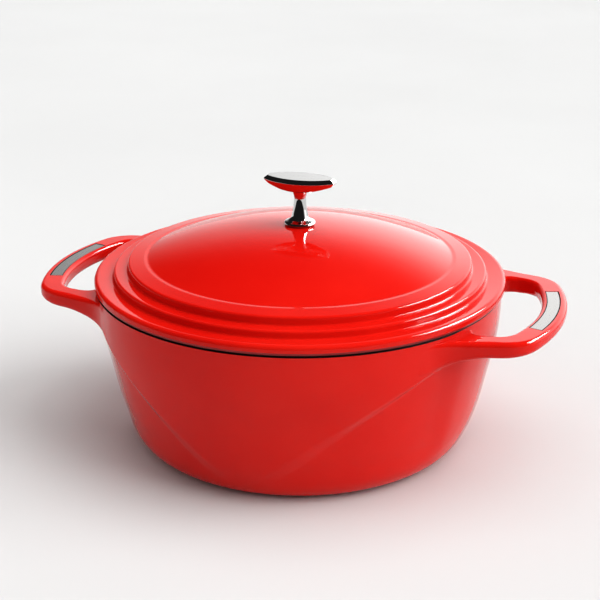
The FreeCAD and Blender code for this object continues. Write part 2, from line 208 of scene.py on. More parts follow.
def rounded_ramp(t, share):
    """Straight ramp from 0 at t = 0 to 1 at t = 1 with its two corners rounded over the share: the difference
    of two soft hinges share * ln(1 + e^(t / share))."""
    return share * (np.logaddexp(0, t / share) - np.logaddexp(0, (t - 1) / share))


def natural_curve(points, step):
    """Natural cubic spline through the points over their chord lengths, read every step."""
    chord = np.hypot(*np.diff(points, axis=0).T)
    knots = np.concatenate([[0], np.cumsum(chord)])
    count = len(points)
    system = np.eye(count)
    bends = np.zeros((count, 2))
    inner = np.arange(1, count - 1)
    system[inner, inner - 1] = chord[:-1]
    system[inner, inner] = 2 * (chord[:-1] + chord[1:])
    system[inner, inner + 1] = chord[1:]
    slopes = np.diff(points, axis=0) / chord[:, None]
    bends[1:-1] = 6 * np.diff(slopes, axis=0)
    bends = np.linalg.solve(system, bends)
    where = np.linspace(0, knots[-1], int(knots[-1] / step) + 1)
    span = np.clip(np.searchsorted(knots, where, side="right") - 1, 0, count - 2)
    h = chord[span][:, None]
    b = (where - knots[span])[:, None] / h
    a = 1 - b
    ends = a * points[span] + b * points[span + 1]
    return ends + h * h / 6 * ((a ** 3 - a) * bends[span] + (b ** 3 - b) * bends[span + 1])


def straight(a, b, step, hold=0.35 * MM):
    """Points from a to b every step, and one close to each end that keeps the shading of a round there."""
    length = np.hypot(*(b - a))
    even = np.linspace(0, 1, max(1, int(round(length / step))) + 1)
    near = min(0.25, hold / length)
    t = np.unique(np.concatenate([even, [near, 1 - near]]))
    return a + (b - a) * t[:, None]


def arc(centre, radius, start, end, count):
    """Points about the centre from angle start to angle end, the short way round."""
    sweep = (end - start + math.pi) % (2 * math.pi) - math.pi
    turn = start + sweep * np.linspace(0, 1, count)
    return np.asarray(centre) + radius * np.stack([np.cos(turn), np.sin(turn)], axis=1)


def rounded_path(corners, step=3 * MM, arc_points=9):
    """Path of straight runs through the (a, b, radius) corners, each corner rounded by a tangent arc."""
    points = np.array([c[:2] for c in corners], float)
    stretches = []
    begin = points[0]
    for i in range(1, len(points) - 1):
        back = points[i - 1] - points[i]
        ahead = points[i + 1] - points[i]
        back /= np.hypot(*back)
        ahead /= np.hypot(*ahead)
        half = math.acos(np.clip(back @ ahead, -1, 1)) / 2
        radius = corners[i][2]
        middle = (back + ahead) / np.hypot(*(back + ahead))
        centre = points[i] + middle * radius / math.sin(half)
        enter = points[i] + back * radius / math.tan(half)
        leave = points[i] + ahead * radius / math.tan(half)
        start = math.atan2(*(enter - centre)[::-1])
        end = math.atan2(*(leave - centre)[::-1])
        stretches.append(straight(begin, enter, step)[:-1])
        stretches.append(arc(centre, radius, start, end, arc_points)[:-1])
        begin = leave
    stretches.append(straight(begin, points[-1], step))
    return np.concatenate(stretches)


def skin(name, rings, body, closed=False, bands=None):
    """Mesh over rings[i, j], where j runs round each ring. The last ring joins the first where closed, and
    otherwise each end ring is filled by a fan to its mean point. bands[i], or bands[i, j], is the material
    number from ring i to the next. The faces are turned where the volume inside them comes out negative."""
    count, around = rings.shape[:2]
    index = np.arange(count * around).reshape(count, around)
    beside = np.roll(index, -1, axis=1)
    after = np.roll(index, -1, axis=0)
    after_beside = np.roll(beside, -1, axis=0)
    quads = np.stack([index, beside, after_beside, after], axis=-1)
    points = rings.reshape(-1, 3)
    fans = np.empty((0, 3), int)
    if not closed:
        quads = quads[:-1]
        poles = np.stack([rings[0].mean(axis=0), rings[-1].mean(axis=0)])
        points = np.concatenate([points, poles])
        first = np.stack([beside[0], index[0], np.full(around, count * around)], axis=-1)
        last = np.stack([index[-1], beside[-1], np.full(around, count * around + 1)], axis=-1)
        fans = np.concatenate([first, last])
    quads = quads.reshape(-1, 4)
    a, b, c, d = (points[quads[:, k]] for k in range(4))
    volume = np.einsum("ij,ij->", np.cross(a, b), c) + np.einsum("ij,ij->", np.cross(a, c), d)
    if volume < 0:
        quads = quads[:, ::-1]
        fans = fans[:, ::-1]
    mesh = bpy.data.meshes.new(name)
    mesh.from_pydata(points.tolist(), [], quads.tolist() + fans.tolist())
    mesh.polygons.foreach_set("use_smooth", np.ones(len(mesh.polygons), bool))
    if bands is not None:
        bands = np.asarray(bands)
        if bands.ndim == 1:
            bands = np.repeat(bands[:, None], around, axis=1)
        numbers = bands[:count if closed else count - 1].reshape(-1)
        if not closed:
            numbers = np.concatenate([numbers, bands[0], bands[-1]])
        mesh.polygons.foreach_set("material_index", numbers.astype(np.int32))
    mesh.set_sharp_from_angle(angle=SHARP_ANGLE)
    mesh.update()
    piece = bpy.data.objects.new(name, mesh)
    bpy.context.scene.collection.objects.link(piece)
    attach(piece, body)
    return piece


def revolve(profile, around, offset=None):
    """Rings of the (radius, height) profile about Z. offset[i, j] is added to the radius of station i at
    turn j."""
    turn = np.linspace(0, 2 * math.pi, around, endpoint=False)
    radius = np.repeat(profile[:, :1], around, axis=1)
    if offset is not None:
        radius = radius + offset
    height = np.repeat(profile[:, 1:], around, axis=1)
    return np.stack([radius * np.cos(turn), radius * np.sin(turn), height], axis=-1)


# ---------------------------------------------------------------- materials

def new_group(name, inputs, outputs):
    """Shader node group with float or colour sockets, given as (name, socket kind, default)."""
    group = bpy.data.node_groups.new(name, "ShaderNodeTree")
    for label, kind, value in inputs:
        socket = group.interface.new_socket(label, in_out="INPUT", socket_type=kind)
        socket.default_value = value
    for label, kind in outputs:
        group.interface.new_socket(label, in_out="OUTPUT", socket_type=kind)
    return group, group.nodes.new("NodeGroupInput"), group.nodes.new("NodeGroupOutput")


def node(tree, kind, inputs=None, **settings):
    """New node in the tree with its settings, and its inputs linked or set by name or number."""
    made = tree.nodes.new(kind)
    for key, value in settings.items():
        setattr(made, key, value)
    for key, value in (inputs or {}).items():
        if isinstance(value, bpy.types.NodeSocket):
            tree.links.new(value, made.inputs[key])
        else:
            made.inputs[key].default_value = value
    return made


def build_orange_peel():
    """Normal of fired enamel: long soft waves and a finer ripple, both from noise."""
    group, given, out = new_group(
        "orange_peel",
        [("Wave Scale", "NodeSocketFloat", 90), ("Ripple Scale", "NodeSocketFloat", 420),
         ("Strength", "NodeSocketFloat", 0.05)],
        [("Normal", "NodeSocketVector")])
    place = node(group, "ShaderNodeTexCoord").outputs["Object"]
    wave = node(group, "ShaderNodeTexNoise", {"Vector": place, "Scale": given.outputs[0], "Detail": 1.0})
    ripple = node(group, "ShaderNodeTexNoise", {"Vector": place, "Scale": given.outputs[1], "Detail": 2.0})
    fine = node(group, "ShaderNodeMath", {0: ripple.outputs["Fac"], 1: 0.3}, operation="MULTIPLY")
    height = node(group, "ShaderNodeMath", {0: wave.outputs["Fac"], 1: fine.outputs[0]}, operation="ADD")
    bump = node(group, "ShaderNodeBump", {
        "Height": height.outputs[0], "Strength": given.outputs[2], "Distance": 0.4 * MM})
    group.links.new(bump.outputs["Normal"], out.inputs["Normal"])
    return group


def build_cloudy():
    """Soft patches: noise at one scale, spread between a low and a high value."""
    group, given, out = new_group(
        "cloudy",
        [("Scale", "NodeSocketFloat", 12), ("Low", "NodeSocketFloat", 0), ("High", "NodeSocketFloat", 1)],
        [("Value", "NodeSocketFloat")])
    place = node(group, "ShaderNodeTexCoord").outputs["Object"]
    noise = node(group, "ShaderNodeTexNoise", {"Vector": place, "Scale": given.outputs[0], "Detail": 4.0})
    spread = node(group, "ShaderNodeMapRange", {
        "Value": noise.outputs["Fac"], "From Min": 0.35, "From Max": 0.65,
        "To Min": given.outputs[1], "To Max": given.outputs[2]})
    group.links.new(spread.outputs["Result"], out.inputs["Value"])
    return group


def build_specks():
    """Mask of small scattered specks: the inner part of some cells of a Voronoi pattern."""
    group, given, out = new_group(
        "specks",
        [("Scale", "NodeSocketFloat", 700), ("Size", "NodeSocketFloat", 0.2),
         ("Share", "NodeSocketFloat", 0.3)],
        [("Mask", "NodeSocketFloat")])
    place = node(group, "ShaderNodeTexCoord").outputs["Object"]
    cells = node(group, "ShaderNodeTexVoronoi", {"Vector": place, "Scale": given.outputs[0]})
    inside = node(group, "ShaderNodeMath", {0: cells.outputs["Distance"], 1: given.outputs[1]},
                  operation="LESS_THAN")
    pick = node(group, "ShaderNodeSeparateColor", {"Color": cells.outputs["Color"]})
    some = node(group, "ShaderNodeMath", {0: pick.outputs["Red"], 1: given.outputs[2]},
                operation="LESS_THAN")
    mask = node(group, "ShaderNodeMath", {0: inside.outputs[0], 1: some.outputs[0]}, operation="MULTIPLY")
    group.links.new(mask.outputs[0], out.inputs["Mask"])
    return group


def build_brushing():
    """Fine parallel strokes: noise stretched along one direction by the Stretch vector."""
    group, given, out = new_group(
        "brushing",
        [("Stretch", "NodeSocketVector", (60, 2600, 60)), ("Strength", "NodeSocketFloat", 0.1)],
        [("Stroke", "NodeSocketFloat"), ("Normal", "NodeSocketVector")])
    place = node(group, "ShaderNodeTexCoord").outputs["Object"]
    scaled = node(group, "ShaderNodeVectorMath", {0: place, 1: given.outputs[0]}, operation="MULTIPLY")
    noise = node(group, "ShaderNodeTexNoise", {"Vector": scaled.outputs[0], "Scale": 1.0, "Detail": 3.0})
    bump = node(group, "ShaderNodeBump", {
        "Height": noise.outputs["Fac"], "Strength": given.outputs[1], "Distance": 0.1 * MM})
    group.links.new(noise.outputs["Fac"], out.inputs["Stroke"])
    group.links.new(bump.outputs["Normal"], out.inputs["Normal"])
    return group


ORANGE_PEEL = build_orange_peel()
CLOUDY = build_cloudy()
SPECKS = build_specks()
BRUSHING = build_brushing()


def place_group(tree, group, **inputs):
    """The node group placed in a material's tree with its own values; spaces in names are written as _."""
    made = tree.nodes.new("ShaderNodeGroup")
    made.node_tree = group
    for key, value in inputs.items():
        made.inputs[key.replace("_", " ")].default_value = value
    return made


def new_material(name, **uniform):
    """Material with one Principled shader whose uniform values are set on its own sockets."""
    material = bpy.data.materials.new(name)
    material.use_nodes = True
    shader = material.node_tree.nodes["Principled BSDF"]
    for key, value in uniform.items():
        shader.inputs[key.replace("_", " ")].default_value = value
    return material, material.node_tree, shader


def tinted(tree, mask, low, high):
    """Colour between low and high by the mask."""
    mix = node(tree, "ShaderNodeMix", data_type="RGBA")
    tree.links.new(mask, mix.inputs["Factor"])
    mix.inputs["A"].default_value = (*low, 1)
    mix.inputs["B"].default_value = (*high, 1)
    return mix.outputs["Result"]


def gloss_enamel(name, deep, bright, peel):
    """Gloss enamel: two close tones in soft patches, orange peel and a faintly uneven gloss."""
    material, tree, shader = new_material(name, IOR=1.31)
    tone = place_group(tree, CLOUDY, Scale=9.0)
    tree.links.new(tinted(tree, tone.outputs[0], deep, bright), shader.inputs["Base Color"])
    gloss = place_group(tree, CLOUDY, Scale=30.0, Low=0.030, High=0.055)
    tree.links.new(gloss.outputs[0], shader.inputs["Roughness"])
    skin_normal = place_group(tree, ORANGE_PEEL, Wave_Scale=110.0, Ripple_Scale=480.0, Strength=peel)
    tree.links.new(skin_normal.outputs["Normal"], shader.inputs["Normal"])
    return material


def speckled(name, ground, fleck, rough, scale, bump):
    """Coat with flecks: small specks on an even ground, a faintly uneven gloss and a grainy surface."""
    material, tree, shader = new_material(name)
    specks = place_group(tree, SPECKS, Scale=scale)
    tree.links.new(tinted(tree, specks.outputs[0], ground, fleck), shader.inputs["Base Color"])
    gloss = place_group(tree, CLOUDY, Scale=60.0, Low=rough * 0.94, High=rough * 1.06)
    tree.links.new(gloss.outputs[0], shader.inputs["Roughness"])
    grain = place_group(tree, ORANGE_PEEL, Wave_Scale=scale, Ripple_Scale=scale * 3, Strength=bump)
    tree.links.new(grain.outputs["Normal"], shader.inputs["Normal"])
    return material


def steel(name, colour, rough, stretch, strength):
    """Steel with brushing strokes that change its roughness and normal a little."""
    material, tree, shader = new_material(name, Metallic=1.0)
    stroke = place_group(tree, BRUSHING, Stretch=stretch, Strength=strength)
    dark = tuple(c * 0.93 for c in colour)
    tree.links.new(tinted(tree, stroke.outputs["Stroke"], dark, colour), shader.inputs["Base Color"])
    gloss = node(tree, "ShaderNodeMapRange", {
        "Value": stroke.outputs["Stroke"], "To Min": rough * 0.8, "To Max": rough * 1.25})
    tree.links.new(gloss.outputs["Result"], shader.inputs["Roughness"])
    tree.links.new(stroke.outputs["Normal"], shader.inputs["Normal"])
    return material


RED = gloss_enamel("red_enamel", (0.60, 0.009, 0.005), (0.67, 0.015, 0.008), 0.08)
CREAM = speckled("cream_enamel", (0.72, 0.67, 0.57), (0.695, 0.64, 0.54), 0.24, 900.0, 0.05)
RIM_BLACK = speckled("black_rim_enamel", (0.012, 0.011, 0.011), (0.05, 0.045, 0.04), 0.55, 1500.0, 0.25)
BARE_IRON = speckled("bare_foot_iron", (0.035, 0.03, 0.028), (0.08, 0.06, 0.05), 0.62, 1200.0, 0.4)
# Near-black coat for the walls and floor of the badge pockets: painted shade for the dark gap around each
# badge
POCKET_PAINTED_SHADE = speckled("painted_shade_badge_pocket", (0.012, 0.008, 0.008), (0.03, 0.012, 0.012), 0.6, 1400.0, 0.2)
CHAMFER = speckled("dull_red_edge", (0.30, 0.008, 0.008), (0.20, 0.01, 0.01), 0.38, 1100.0, 0.2)
POLISHED = steel("polished_steel_knob", (0.66, 0.655, 0.65), 0.05, (40, 900, 40), 0.01)
BRUSHED_TOP = steel("brushed_steel_top", (0.43, 0.427, 0.42), 0.24, (60, 2600, 60), 0.10)
SATIN = steel("satin_badge_steel", (0.40, 0.395, 0.385), 0.28, (2200, 50, 60), 0.10)
SCREW_STEEL = steel("plain_screw_steel", (0.60, 0.60, 0.59), 0.25, (300, 300, 1500), 0.12)


# ---------------------------------------------------------------- bowl

def panel_rise(turn, height):
    """Proud height of the front and back panels. The panel's edge is a parabola of height over the turn from
    the nearest handle. Below it a flat facet, widening along it, slopes in to a shallow recess."""
    from_handle = np.degrees(np.arccos(np.abs(np.cos(turn))))
    past = from_handle - RIDGE_FROM
    edge = RIDGE_Z - RIDGE_FALL * past - RIDGE_CURVE * past ** 2
    width = RIDGE_WIDTH + RIDGE_SPREAD * np.maximum(past, 0)
    climb = rounded_ramp((height - edge) / width + 1, RIDGE_ROUND)
    proud = PANEL_RISE * climb - RIDGE_RECESS * (1 - climb) * smooth_step(*RECESS_TOP, height)
    return proud * smooth_step(*RIDGE_FADE, height) * smooth_step(*PANEL_SIDE, from_handle)


def make_bowl():
    """Bowl as one turned skin: from the middle of its underside, over foot, wall and rim, to the middle of
    its floor. The panels are an offset of the outer wall."""
    foot = rounded_path([
        (AXIS_GAP, FOOT_RECESS, 0),
        (FOOT_R - FOOT_WIDTH, FOOT_RECESS, 0.4 * MM),
        (FOOT_R - FOOT_WIDTH, 0, 0.3 * MM),
        (FOOT_R, 0, 0.5 * MM),
        (*BELLY[0], 0),
    ], step=12 * MM)
    wall = natural_curve(np.vstack([BELLY, SHOULDER]), WALL_STEP)
    rim = rounded_path([
        (*SHOULDER, 0),
        (SHOULDER[0] - RIM_SETBACK, RIM_BAND_Z, 0.1 * MM),
        (SHOULDER[0] - RIM_SETBACK, RIM_Z, 0.6 * MM),
        (SHOULDER[0] - WALL, RIM_Z, 0.8 * MM),
        (SHOULDER[0] - WALL, RIM_BAND_Z, 0),
    ], step=2 * MM, arc_points=6)
    inner_points = np.vstack([SHOULDER, BELLY[INNER_BELLY_FROM:][::-1]]) - (WALL, 0)
    inner_wall = natural_curve(inner_points, 6 * MM)
    corner_x = inner_points[-1][0] - INNER_CORNER_R
    inner_corner = arc((corner_x, inner_points[-1][1]), INNER_CORNER_R, 0, -math.pi / 2, 16)
    floor = straight(np.array([corner_x, FLOOR_Z]), np.array([AXIS_GAP, FLOOR_Z]), 20 * MM)
    profile = np.concatenate([foot[:-1], wall, rim[1:], inner_wall[1:], inner_corner[1:], floor[1:]])
    wall_from = len(foot) - 1
    wall_to = wall_from + len(wall)
    turn = np.linspace(0, 2 * math.pi, AROUND, endpoint=False)
    offset = np.zeros((len(profile), AROUND))
    offset[wall_from:wall_to] = panel_rise(turn[None, :], wall[:, 1:])
    bands = np.zeros(len(profile), int)
    bands[:len(foot) - FOOT_EDGE_POINTS] = 1
    bands[wall_to - 1:] = 2
    bands[wall_to + len(rim) - 2:] = 3
    bowl = skin("bowl_shell", revolve(profile, AROUND, offset), "pot", bands=bands)
    for material in (RED, BARE_IRON, RIM_BLACK, CREAM):
        bowl.data.materials.append(material)
    return bowl


# ---------------------------------------------------------------- loop handles

def on_offset_line(normal, offset, centre, distance):
    """Point of the line normal . p = offset that lies at the distance from the centre, on the side away from
    the bowl."""
    along = np.array([normal[1], -normal[0]])
    foot = normal * offset - centre
    across = foot @ along
    reach = -across + math.sqrt(across ** 2 - foot @ foot + distance ** 2)
    return normal * offset + along * reach


def angle_of(vector):
    """Angle of a plan vector from +X."""
    return math.atan2(vector[1], vector[0])


def half_outline(normal, offset, wall_r, wall_round, side, corner_round, loop_r):
    """Plan of one edge of the handle, from its root in the bowl to the middle of the loop: a stretch tucked
    into the wall, a round to the arm's line, the line, a round to the loop, and the loop's arc, cut at the
    pocket's end. side is +1 where the root's round lies outside the arm's line and -1 where it lies in the
    opening."""
    origin = np.zeros(2)
    loop_centre = np.array([LOOP_X, 0])
    root = on_offset_line(normal, offset + side * wall_round, origin, wall_r + wall_round)
    corner = on_offset_line(normal, offset - corner_round, loop_centre, loop_r - corner_round)
    root_angle = angle_of(root)
    loop_angle = angle_of(corner - loop_centre)
    tuck = np.linspace(1, 0, TUCK_POINTS)[:-1]
    tuck_turn = root_angle + side * TUCK_ANGLE * tuck
    tuck_r = wall_r - TUCK_DEPTH * tuck ** 2
    tucked = tuck_r[:, None] * np.stack([np.cos(tuck_turn), np.sin(tuck_turn)], axis=1)
    root_round = arc(root, wall_round, root_angle + math.pi, angle_of(-side * normal), ROOT_POINTS)
    arm_start = root - side * wall_round * normal
    arm_end = corner + corner_round * normal
    arm = arm_start + (arm_end - arm_start) * np.linspace(0, 1, ARM_POINTS)[1:-1, None]
    corner_arc = arc(corner, corner_round, angle_of(normal), loop_angle, CORNER_POINTS)
    cut = POCKET_HALF_ANGLE + POCKET_WALL / loop_r
    to_pocket = arc(loop_centre, loop_r, loop_angle, cut, TO_POCKET_POINTS)[1:]
    past_pocket = arc(loop_centre, loop_r, POCKET_HALF_ANGLE, 0, PAST_POCKET_POINTS)
    return np.concatenate([tucked, root_round, arm, corner_arc, to_pocket, past_pocket])


def underside(x):
    """Height of the handle's underside: it falls as a square towards the bowl and rises to the tip as a power
    of 1.5."""
    towards_bowl = np.maximum(HANDLE_BEND_X - x, 0) / (HANDLE_BEND_X - ROOT_X)
    towards_tip = np.maximum(x - HANDLE_BEND_X, 0) / (HANDLE_REACH - HANDLE_BEND_X)
    return HANDLE_TOP - HANDLE_T - ROOT_DROP * towards_bowl ** 2 + TIP_RISE * towards_tip ** 1.5


def section_arc(across, height, radius, start, end, count=9):
    """Arc of every section at once about (across, height): arrays of stations by points."""
    turn = np.radians(np.linspace(start, end, count))
    return across[:, None] + radius * np.cos(turn), height[:, None] + radius * np.sin(turn)


def section_run(a, b, fractions):
    """Straight run of every section from the last point of arc a to the first point of arc b."""
    return tuple(p[:, -1:] + (q[:, :1] - p[:, -1:]) * fractions for p, q in zip(a, b))


def root_cap(ring):
    """End ring shrunk to a small patch about its middle, which is moved out into the bowl's wall."""
    middle = ring.mean(axis=0)
    middle[:2] *= ROOT_CAP_R / np.hypot(*middle[:2])
    return middle + (ring - middle) * ROOT_CAP_SHARE


def make_handle(side, name):
    """Loop handle on the side +1 or -1 of X: rounded sections between the outer and inner edge lines, carried
    from one root to the other. The badge's pocket is a step down in the top of the sections."""
    direction = (ARM_CORNER - ARM_FLARE) / np.hypot(*(ARM_CORNER - ARM_FLARE))
    slant = np.array([-direction[1], direction[0]])
    straight_on = np.array([0.0, 1.0])
    outer = half_outline(slant, slant @ ARM_FLARE, PANEL_R, FLARE_ROUND, 1, CORNER_ROUND, LOOP_OUTER_R)
    inner = half_outline(straight_on, ARM_INNER_Y, SHOULDER[0], OPENING_WALL_ROUND, -1, OPENING_ROUND,
                         LOOP_INNER_R)
    pocket = np.arange(len(outer)) >= len(outer) - PAST_POCKET_POINTS
    outer, inner = (np.concatenate([half, half[-2::-1] * (1, -1)]) for half in (outer, inner))
    pocket = np.concatenate([pocket, pocket[-2::-1]])
    width = np.hypot(*(inner - outer).T)
    low_outer = underside(outer[:, 0])
    low_inner = underside(inner[:, 0])
    top = np.full(len(width), HANDLE_TOP)
    lean = ROOT_LEAN * smooth_step(ARM_FLARE[0] + ROOT_LEAN_FROM, ROOT_X, outer[:, 0])
    top_outer = section_arc(np.full(len(width), EDGE_ROUND), top - EDGE_ROUND, EDGE_ROUND, 180, 90)
    top_inner = section_arc(width - EDGE_ROUND, top - EDGE_ROUND, EDGE_ROUND, 90, 0)
    low_in = section_arc(width - UNDER_ROUND, low_inner + UNDER_ROUND, UNDER_ROUND, 0, -90)
    low_out = section_arc(UNDER_ROUND + lean, low_outer + UNDER_ROUND, UNDER_ROUND, 270, 180)
    flat_width = LOOP_OUTER_R - LOOP_INNER_R - 2 * EDGE_ROUND
    pocket_from = (LOOP_OUTER_R - POCKET_OUTER_R - EDGE_ROUND) / flat_width
    pocket_to = (LOOP_OUTER_R - POCKET_INNER_R - EDGE_ROUND) / flat_width
    wall_share = POCKET_WALL / flat_width
    floor = np.linspace(pocket_from, pocket_to, POCKET_COLUMNS)
    top_flat = np.concatenate([[TOP_EDGE_SHARE, pocket_from - wall_share], floor, [pocket_to + wall_share]])
    in_pocket = np.concatenate([[False, False], np.ones(POCKET_COLUMNS, bool), [False]])
    top_across, top_height = section_run(top_outer, top_inner, top_flat)
    top_height = top_height - POCKET_DEPTH * (pocket[:, None] & in_pocket)
    stretches = [
        top_outer,
        (top_across, top_height),
        top_inner,
        section_run(top_inner, low_in, SIDE_SHARES),
        low_in,
        section_run(low_in, low_out, SIDE_SHARES),
        low_out,
        section_run(low_out, top_outer, SIDE_SHARES),
    ]
    across = np.concatenate([s[0] for s in stretches], axis=1)
    height = np.concatenate([s[1] for s in stretches], axis=1)
    towards = (inner - outer) / width[:, None]
    plan = outer[:, None, :] + towards[:, None, :] * across[:, :, None]
    from_axis = np.hypot(plan[..., 0], plan[..., 1])[..., None]
    plan = plan * np.maximum(1, ROOT_LEAST_R / from_axis)
    rings = np.concatenate([plan * side, height[:, :, None]], axis=-1)
    rings = np.concatenate([[root_cap(rings[0])], rings, [root_cap(rings[-1])]])
    pocket = np.concatenate([[False], pocket, [False]])
    first = top_outer[0].shape[1]
    columns = np.arange(rings.shape[1])
    under_badge = (columns > first) & (columns < first + len(top_flat))
    # The pocket's walls and floor take the near-black coat: painted shade in the gap around the badge
    bands = (pocket[:, None] & under_badge).astype(int)
    handle = skin(name, rings, "pot", bands=bands)
    handle.data.materials.append(RED)
    handle.data.materials.append(POCKET_PAINTED_SHADE)
    return handle


# ---------------------------------------------------------------- lid

def dome(edge_r, edge_z, crown_z, start_r, end_r, count):
    """Points of the ball arc through the edge and the crown, between two radii."""
    rise = crown_z - edge_z
    ball_r = (edge_r ** 2 + rise ** 2) / (2 * rise)
    radius = np.linspace(start_r, end_r, count)
    return np.stack([radius, crown_z - ball_r + np.sqrt(ball_r ** 2 - radius ** 2)], axis=1)


def make_lid():
    """Lid as one closed turned skin: crown, two steps, edge, black seat, lip, and back under the dome to the
    hole."""
    crown = dome(DOME_R, SEAT_Z + DOME_Z, CROWN_Z, LID_HOLE_R, DOME_R - DOME_BORDER, DOME_POINTS)
    outside = rounded_path([
        (*crown[-1], 0),
        (DOME_R + 0.6 * MM, SEAT_Z + DOME_Z - DOME_GROOVE, 4.5 * MM),
        (DOME_R + 3.2 * MM, SEAT_Z + DOME_Z - 0.2 * MM, 8 * MM),
        (STEP_1_R, SEAT_Z + STEP_1_Z, 1.6 * MM),
        (STEP_1_R, SEAT_Z + STEP_1_FOOT, 1.2 * MM),
        (STEP_2_R, SEAT_Z + STEP_2_Z, 1.6 * MM),
        (STEP_2_R, SEAT_Z + STEP_2_FOOT, 1.2 * MM),
        (LID_R, SEAT_Z + LID_EDGE_Z, 2.6 * MM),
        (LID_R, SEAT_Z + CHAMFER_Z, 0.4 * MM),
        (SKIRT_R, SEAT_Z, 0.4 * MM),
        (LIP_OUTER_R, SEAT_Z, 0.8 * MM),
        (LIP_OUTER_R, LIP_Z, 0.8 * MM),
        (LIP_INNER_R, LIP_Z, 0.8 * MM),
        (LIP_INNER_R, SEAT_Z, 1.5 * MM),
        (STEP_2_R - LID_WALL, SEAT_Z + STEP_2_FOOT - LID_WALL / 2, 3 * MM),
        (STEP_1_R - LID_WALL, SEAT_Z + STEP_1_Z - LID_WALL, 3 * MM),
        (DOME_R - DOME_INSET, SEAT_Z + DOME_Z - LID_WALL, 0),
    ])
    under_crown = dome(DOME_R - DOME_INSET, SEAT_Z + DOME_Z - LID_WALL, CROWN_Z - LID_WALL,
                       DOME_R - DOME_INSET, BOSS_R, UNDER_DOME_POINTS)
    boss = rounded_path([
        (*under_crown[-1], 0),
        (BOSS_R, CROWN_Z - BOSS_T, 0.5 * MM),
        (LID_HOLE_R, CROWN_Z - BOSS_T, 0.3 * MM),
        (LID_HOLE_R, CROWN_Z - 1 * MM, 0),
    ], arc_points=5)
    profile = np.concatenate([crown[:-1], outside, under_crown[1:], boss[1:]])
    after = np.roll(profile, -1, axis=0)
    middle_r, middle_z = (profile + after).T / 2
    under_lip = (middle_z < LIP_Z + 0.1 * MM) & (middle_r < LIP_OUTER_R - 1 * MM)
    bands = np.zeros(len(profile), int)
    bands[(middle_z < SEAT_Z + CHAMFER_Z) & (middle_r > LIP_OUTER_R)] = 1
    bands[(middle_z < SEAT_Z + SEAT_BLACK_Z) & (middle_r > LIP_INNER_R)] = 2
    bands[np.argmax(under_lip):] = 3
    lid = skin("lid_shell", revolve(profile, LID_AROUND), "lid", closed=True, bands=bands)
    for material in (RED, CHAMFER, RIM_BLACK, CREAM):
        lid.data.materials.append(material)
    return lid


# ---------------------------------------------------------------- knob

def head_outline(inset):
    """Plan of the knob head moved in by the inset: two long arcs cut off by short ends, and corners between
    them that are parabolas (quadratic Bezier curves)."""
    length = KNOB_HALF_LENGTH - inset
    width = KNOB_HALF_WIDTH - inset
    end = KNOB_END_HALF_WIDTH - KNOB_END_INSET * inset
    drop = width - end
    bow_r = (length ** 2 + drop ** 2) / (2 * drop)
    bow_angle = math.asin(length / bow_r) * KNOB_BOW_SHARE
    upper = arc((0, width - bow_r), bow_r, math.pi / 2 - bow_angle, math.pi / 2 + bow_angle,
                HEAD_BOW_POINTS)
    flat_end = end * KNOB_END_FLAT
    blend = np.linspace(0, 1, HEAD_CORNER_POINTS)[1:-1, None]
    knee = np.array([length, end])
    corner = (1 - blend) ** 2 * (length, flat_end) + 2 * blend * (1 - blend) * knee + blend ** 2 * upper[0]
    face_y = np.linspace(0, flat_end, HEAD_FACE_POINTS + 1)[1:]
    face = np.stack([np.full(HEAD_FACE_POINTS, length), face_y], axis=1)
    right = np.concatenate([face, corner])
    top_half = np.concatenate([right, upper, right[::-1] * (-1, 1)])
    return np.concatenate([[(length, 0)], top_half, [(-length, 0)], top_half[::-1] * (1, -1)])


